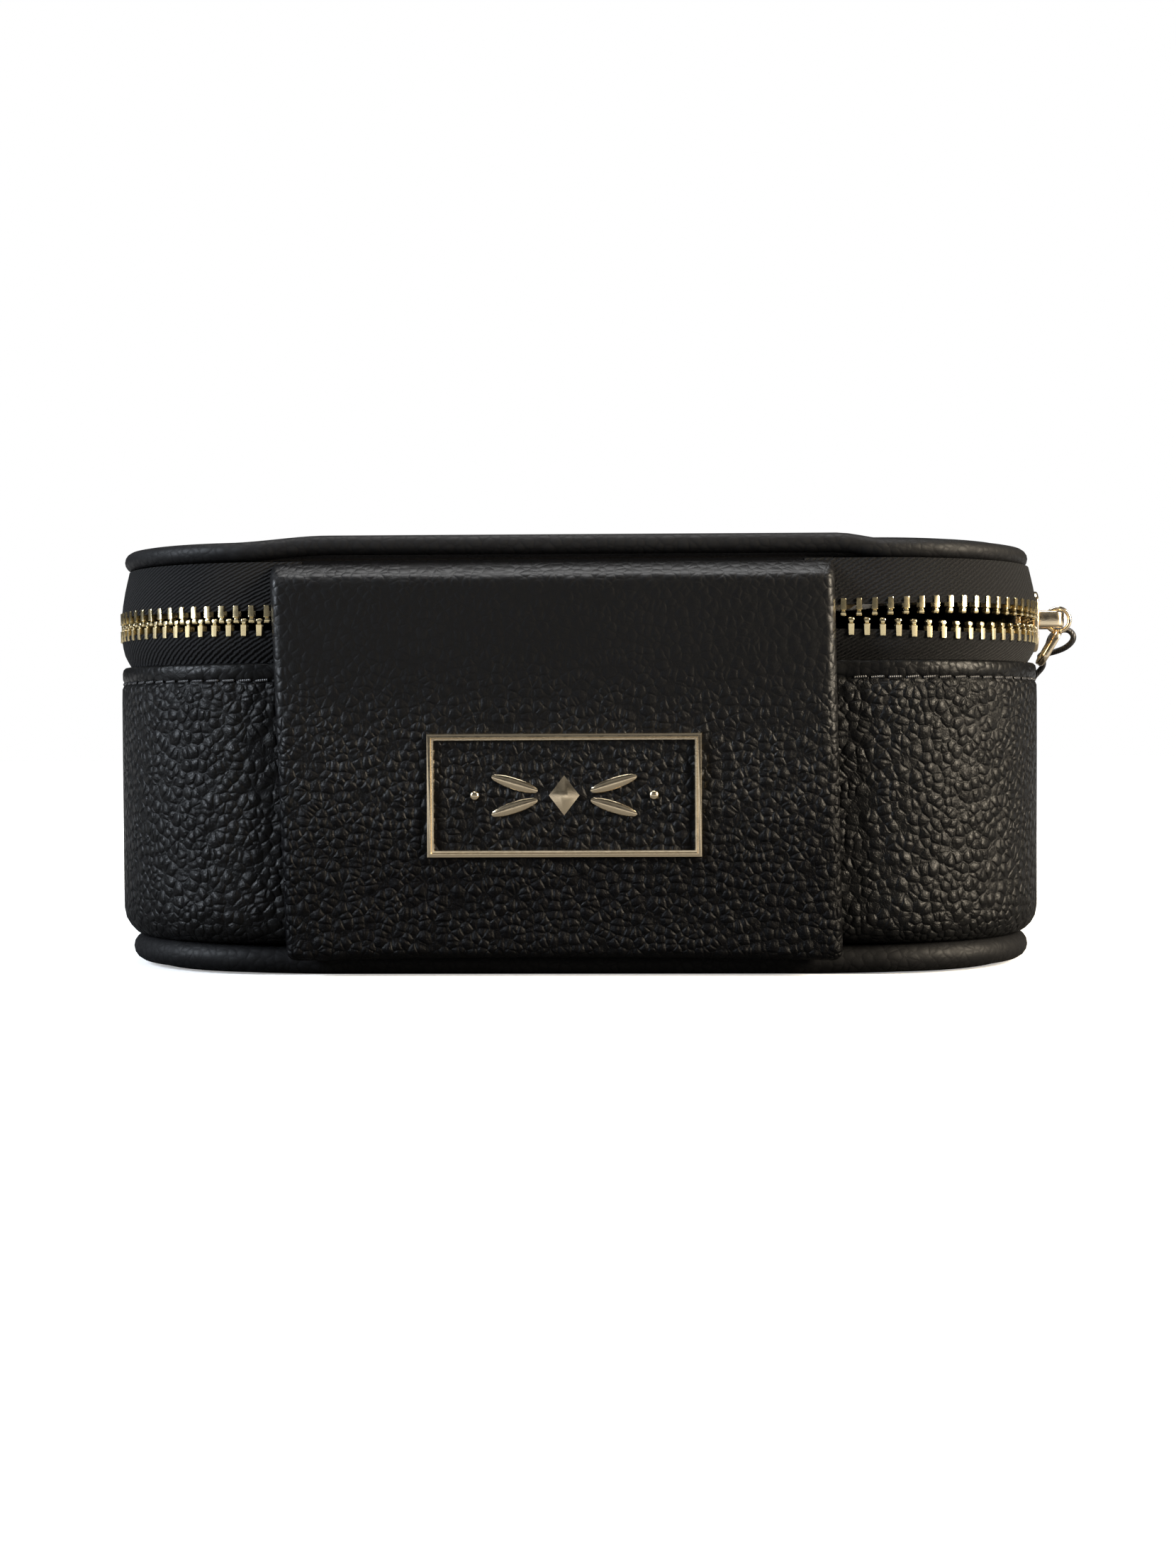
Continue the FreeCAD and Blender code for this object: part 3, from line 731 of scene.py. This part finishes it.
# %% [markdown]
# ## The plaque
# The plaque is an open frame with a step on its face, and inside it a plain ornament: a lozenge
# between four leaves. The frame is a box whose middle is inset twice and pushed back.

# %% Plaque frame
frame_low, frame_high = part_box("plaque_frame")
plaque_centre = Vector(((frame_low[0] + frame_high[0]) / 2, 0, (frame_low[2] + frame_high[2]) / 2))


def plaque_bar():
    bm = bmesh.new()
    bmesh.ops.create_grid(bm, x_segments=1, y_segments=1, size=0.5)
    bmesh.ops.scale(bm, verts=bm.verts, vec=(frame_high[0] - frame_low[0], frame_high[2] - frame_low[2], 1))
    face = bm.faces[:]
    rings = ((0.14, 0.62), (0.3, 0.1), (0.3, 0.0), (0.14, -0.32), (0.3, 0.0), (0.17, -0.4))
    for width, rise in rings:
        bmesh.ops.inset_region(bm, faces=face, thickness=width * MM, depth=0, use_boundary=True, use_even_offset=True)
        bmesh.ops.translate(bm, verts=face[0].verts[:], vec=(0, 0, rise * MM))
    bmesh.ops.delete(bm, geom=face, context="FACES")
    rim = [e for e in bm.edges if e.is_boundary]
    made = bmesh.ops.extrude_edge_only(bm, edges=rim)
    for v in [g for g in made["geom"] if isinstance(g, bmesh.types.BMVert)]:
        v.co.z = -0.15 * MM
    bmesh.ops.recalc_face_normals(bm, faces=bm.faces)
    return bm


bm = plaque_bar()
upright = Matrix.Translation((plaque_centre.x, PANEL_Y1, plaque_centre.z)) @ Matrix.Rotation(math.pi / 2, 4, "X")
bmesh.ops.transform(bm, matrix=upright, verts=bm.verts)
plaque_frame = finish_mesh(bm, "plaque_bars", gold, "base", ("plaque_frame",), "gold_metal", 25)


# %% Ornament
def ornament():
    """Lozenge with a flat top, four leaves and two beads, joined into one piece."""
    bm = bmesh.new()

    def blob(x, z, half_x, half_z, turn=0.0):
        made = bmesh.ops.create_uvsphere(bm, u_segments=18, v_segments=10, radius=1.0)
        place = (Matrix.Translation((plaque_centre.x + x * MM, PANEL_Y1, plaque_centre.z + z * MM))
                 @ Matrix.Rotation(math.radians(turn), 4, "Y")
                 @ Matrix.Diagonal((half_x * MM, 0.5 * MM, half_z * MM, 1)))
        bmesh.ops.transform(bm, matrix=place, verts=made["verts"])

    made = bmesh.ops.create_cone(bm, cap_ends=True, segments=4, radius1=1.0, radius2=0.3, depth=1.0)
    place = (Matrix.Translation((plaque_centre.x, PANEL_Y1 - 0.25 * MM, plaque_centre.z))
             @ Matrix.Diagonal((2.6 * MM, 0.5 * MM, 3.4 * MM, 1)) @ Matrix.Rotation(math.pi / 2, 4, "X"))
    bmesh.ops.transform(bm, matrix=place, verts=made["verts"])
    for side in (-1, 1):
        for lift in (-1, 1):
            blob(side * 8.4, lift * 2.0, 4.2, 1.05, -side * lift * 18)
        blob(side * 15.2, 0, 0.8, 0.8)
    bmesh.ops.recalc_face_normals(bm, faces=bm.faces)
    return finish_mesh(bm, "plaque_relief", gold, "base", ("plaque_ornament",), "gold_metal")


plaque_relief = ornament()

# %% [markdown]
# ## The cord on the pull
# The cord is a smooth NURBS curve through the air beside the slider, with the same
# points as the design model, and it hangs down the wall.

# %% Cord
CORD_D = 1.1 * MM
CORD_POINTS = [
    (88.9, -12.3, 57.2),
    (89.4, -10.1, 58.9),
    (90.9, -9.3, 60.5),
    (93.2, -10.1, 61.0),
    (94.4, -10.6, 59.3),
    (93.1, -9.8, 57.5),
    (90.6, -8.1, 56.5),
    (87.9, -6.2, 56.1),
    (90.1, -3.9, 54.5),
    (87.5, -2.0, 51.6),
    (86.0, -1.4, 47.4),
    (86.2, -1.0, 43.2),
    (85.9, -1.3, 39.4),
]


def pull_cord():
    curve = bpy.data.curves.new("pull_cord_line", "CURVE")
    curve.dimensions = "3D"
    curve.bevel_depth = CORD_D / 2
    curve.bevel_resolution = 4
    curve.resolution_u = 10
    curve.use_fill_caps = True
    spline = curve.splines.new("NURBS")
    spline.points.add(len(CORD_POINTS) - 1)
    for point, (x, y, z) in zip(spline.points, CORD_POINTS):
        point.co = (x * MM, y * MM, z * MM, 1)
    spline.order_u = 3
    spline.use_endpoint_u = True
    curve.materials.append(thread)
    piece = bpy.data.objects.new("pull_cord_black", curve)
    bpy.context.collection.objects.link(piece)
    return piece


cord = pull_cord()
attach(cord, "pull")
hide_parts("pull_cord")

# %% [markdown]
# ## Inside
# Linings are short-pile velvet. The design model's floor, dividers and block are the right shape
# already, so they only get the finish. The wall lining is turned over the rim, and the ring
# rolls are made as soft cushions.

# %% Finishes on the design model's own solids
finish_of = {
    "case_leather": wall_leather, "velvet_lining": lining_velvet, "zip_cloth": zip_cloth, "zip_metal": teeth_metal,
    "gold_metal": gold, "mirror_glass": mirror_glass, "cord": thread,
}
board = velvet("hidden_board", (0.01, 0.009, 0.009))
slots = {s["node"]: s["material_slot"] for s in frame["record"]["subparts"]}
for name, obj in frame["nodes"].items():
    for holder in obj.material_slots:
        holder.material = finish_of.get(slots[name], board)
    if not obj.material_slots:
        obj.data.materials.append(finish_of.get(slots[name], board))
print("finished", len(slots), "design solids")

# %% Soften the slider and the pull
def softened(node, name, body, width, fuller=1.0):
    """The design solid with its sharp edges rounded."""
    source = frame["nodes"][node]
    bm = bmesh.new()
    bm.from_mesh(source.data)
    bmesh.ops.transform(bm, matrix=source.matrix_world, verts=bm.verts)
    bmesh.ops.remove_doubles(bm, verts=bm.verts, dist=1e-6)
    bmesh.ops.dissolve_limit(bm, angle_limit=0.02, verts=bm.verts, edges=bm.edges)
    if fuller != 1.0:
        middle = (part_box(node)[0][2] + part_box(node)[1][2]) / 2
        for v in bm.verts:
            v.co.z = middle + (v.co.z - middle) * fuller
    sharp = [e for e in bm.edges if len(e.link_faces) == 2 and e.calc_face_angle(0) > 0.7]
    bevel(bm, sharp, width, 3)
    bmesh.ops.recalc_face_normals(bm, faces=bm.faces)
    return finish_mesh(bm, name, gold, body, (node,), "gold_metal", 50)


SLIDER_PARTS = (("slider_outer_plate", 0.35, 1), ("slider_inner_plate", 0.3, 1), ("slider_crown", 0.5, 1.2))
for node, width, fuller in SLIDER_PARTS:
    softened(node, node + "_polished", "slider", width * MM, fuller)
softened("pull_tab", "pull_tab_polished", "pull", 0.3 * MM)

# %% Wall lining and hinge lining
inside = (HALF_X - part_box("wall_lining")[1][0]) / MM
lining_profile = [
    (inside + 1.0, 7.7), (inside + 1.0, 30.0), (inside + 0.95, WALL_MM - 1.6), (inside + 0.5, WALL_MM - 0.2),
    (inside - 0.5, WALL_MM + 0.35), (2.9, WALL_MM + 0.35), (2.6, WALL_MM + 0.05), (2.65, WALL_MM - 0.6),
    (inside, WALL_MM - 1.0), (inside, 7.7),
]
bm = run_round(lining_profile)
wall_lining = finish_mesh(bm, "wall_lining_velvet", lining_velvet, "base", ("wall_lining",), "velvet_lining")

lining_low, lining_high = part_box("hinge_lining_lower")[0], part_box("hinge_lining_upper")[1]
bm = bmesh.new()
bmesh.ops.create_cube(bm, size=1.0)
bmesh.ops.scale(bm, verts=bm.verts, vec=[h - l for l, h in zip(lining_low, lining_high)])
bmesh.ops.translate(bm, verts=bm.verts, vec=[(h + l) / 2 for l, h in zip(lining_low, lining_high)])
bevel(bm, bm.edges[:], 0.3 * MM, 2)
for i in range(-7, 9):
    bisect(bm, (0, 0, CHAIN_Z + i * MM), (0, 0, 1))
hinge_lining = finish_mesh(bm, "hinge_lining_velvet", lining_velvet, None, slot="velvet_lining")
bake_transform(hinge_lining)
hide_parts("hinge_lining_lower", "hinge_lining_upper")

# %% [markdown]
# ## Ring rolls
# Each roll is foam in velvet: a cylinder with rounded ends, its middle a little fuller than its
# ends, and fine wrinkles along it.


# %% Rolls
def ring_rolls():
    low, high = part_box("ring_rolls")
    count = 5
    radius = (high[2] - low[2]) / 2
    pitch = (high[1] - low[1] - 2 * radius) / (count - 1)
    bm = bmesh.new()
    for i in range(count):
        made = bmesh.ops.create_cone(bm, cap_ends=True, segments=32, radius1=radius, radius2=radius,
                                     depth=high[0] - low[0])
        place = (Matrix.Translation(((low[0] + high[0]) / 2, low[1] + radius + i * pitch, low[2] + radius))
                 @ Matrix.Rotation(math.pi / 2, 4, "Y"))
        bmesh.ops.transform(bm, matrix=place, verts=made["verts"])
    caps = [e for e in bm.edges if abs(e.verts[0].co.x - e.verts[1].co.x) < 1e-6]
    bevel(bm, caps, 2.2 * MM, 4)
    for i in range(1, 24):
        x = low[0] + 2.4 * MM + (high[0] - low[0] - 4.8 * MM) * i / 24
        bisect(bm, (x, 0, 0), (1, 0, 0))
    for v in bm.verts:
        row = round((v.co.y - low[1] - radius) / pitch)
        centre = Vector((v.co.x, low[1] + radius + row * pitch, low[2] + radius))
        wrinkle = noise.noise(Vector((v.co.x * 180, v.co.y * 420, v.co.z * 420)))
        v.co += (v.co - centre) * (0.045 * wrinkle - 0.02)
    bmesh.ops.recalc_face_normals(bm, faces=bm.faces)
    return finish_mesh(bm, "soft_ring_rolls", lining_velvet, "base", ("ring_rolls",), "velvet_lining", 60)


rolls = ring_rolls()

# %% [markdown]
# ## Floor and light
# A pale floor, a big soft light above, a cool one on the left and a warmer one on the right, so
# that the black leather shows its shape by its sheen.


# %% Floor and lights
def floor():
    bm = bmesh.new()
    bmesh.ops.create_grid(bm, x_segments=2, y_segments=2, size=3.0)
    mesh = bpy.data.meshes.new("floor")
    bm.to_mesh(mesh)
    bm.free()
    n = Nodes("floor_paper")
    seen = n.add("LightPath").outputs["Is Camera Ray"]
    n.link(n.mix(seen, (0.09, 0.09, 0.09), (0.93, 0.93, 0.93)), "Base Color")
    away = n.add("VectorMath", {0: n.object_coords()}, operation="LENGTH").outputs["Value"]
    glow = n.mix(seen, n.spread(away, 0.16, 0.42, 0.0, 0.62), n.spread(away, 0.12, 0.4, 0.3, 1.0))
    n.link(glow, "Emission Strength")
    n.shader.inputs["Emission Color"].default_value = (1, 1, 1, 1)
    n.set(rough=0.95, specular=0.05)
    mesh.materials.append(n.material)
    obj = bpy.data.objects.new("floor", mesh)
    bpy.context.collection.objects.link(obj)


def area_light(name, place, aim, size, power, color):
    data = bpy.data.lights.new(name, "AREA")
    data.shape = "RECTANGLE"
    data.size, data.size_y = size
    data.energy = power
    data.color = color
    light = bpy.data.objects.new(name, data)
    light.location = place
    light.rotation_euler = (Vector(aim) - Vector(place)).to_track_quat("-Z", "Y").to_euler()
    bpy.context.collection.objects.link(light)


floor()
area_light("top_soft", (0, 0.0, 0.9), (0, 0, 0.04), (0.6, 0.4), 8, (1.0, 1.0, 1.0))
area_light("left_cool", (-0.8, -0.35, 0.4), (-0.05, 0, 0.05), (0.12, 0.5), 14.5, (0.84, 0.91, 1.0))
area_light("right_warm", (0.8, -0.35, 0.35), (0.05, 0, 0.05), (0.12, 0.5), 28.0, (1.0, 0.87, 0.68))
world = bpy.data.worlds.new("studio")
world.use_nodes = True
tree = world.node_tree
studio = tree.nodes["Background"]


# A dim room, lighter in front and behind, with a bright band above them, for the metal and the
# pebbles. The camera itself sees plain white.
look = add_node(tree, "SeparateXYZ", {0: add_node(tree, "TexCoord").outputs["Generated"]}).outputs
low_edge = add_node(tree, "MapRange", {"Value": look["Z"], "From Min": 0.22, "From Max": 0.32}).outputs["Result"]
high_edge = add_node(tree, "MapRange", {"Value": look["Z"], "From Min": 0.62, "From Max": 0.5}).outputs["Result"]
sideways = add_node(tree, "Math", {0: look["Y"]}, operation="ABSOLUTE").outputs[0]
front = add_node(tree, "MapRange", {"Value": sideways, "From Min": 0.1, "From Max": 0.5}).outputs["Result"]
band = add_node(tree, "Math", {0: low_edge, 1: high_edge}, operation="MULTIPLY").outputs[0]
ahead = add_node(tree, "MapRange", {"Value": front, "To Min": 0.1, "To Max": 0.7}).outputs["Result"]
bright = add_node(tree, "Math", {0: band, 1: front}, operation="MULTIPLY").outputs[0]
room = add_node(tree, "Math", {0: bright, 1: 2.6}, operation="MULTIPLY").outputs[0]
room = add_node(tree, "Math", {0: room, 1: ahead}, operation="ADD").outputs[0]
tree.links.new(room, studio.inputs["Strength"])
paper = add_node(tree, "Background", {"Color": (1.0, 1.0, 1.0, 1), "Strength": 1.0}).outputs[0]
seen = add_node(tree, "LightPath").outputs["Is Camera Ray"]
chosen = add_node(tree, "MixShader", {0: seen, 1: studio.outputs[0], 2: paper}).outputs[0]
tree.links.new(chosen, tree.nodes["World Output"].inputs["Surface"])
bpy.context.scene.world = world
bpy.context.scene.view_settings.view_transform = "Standard"
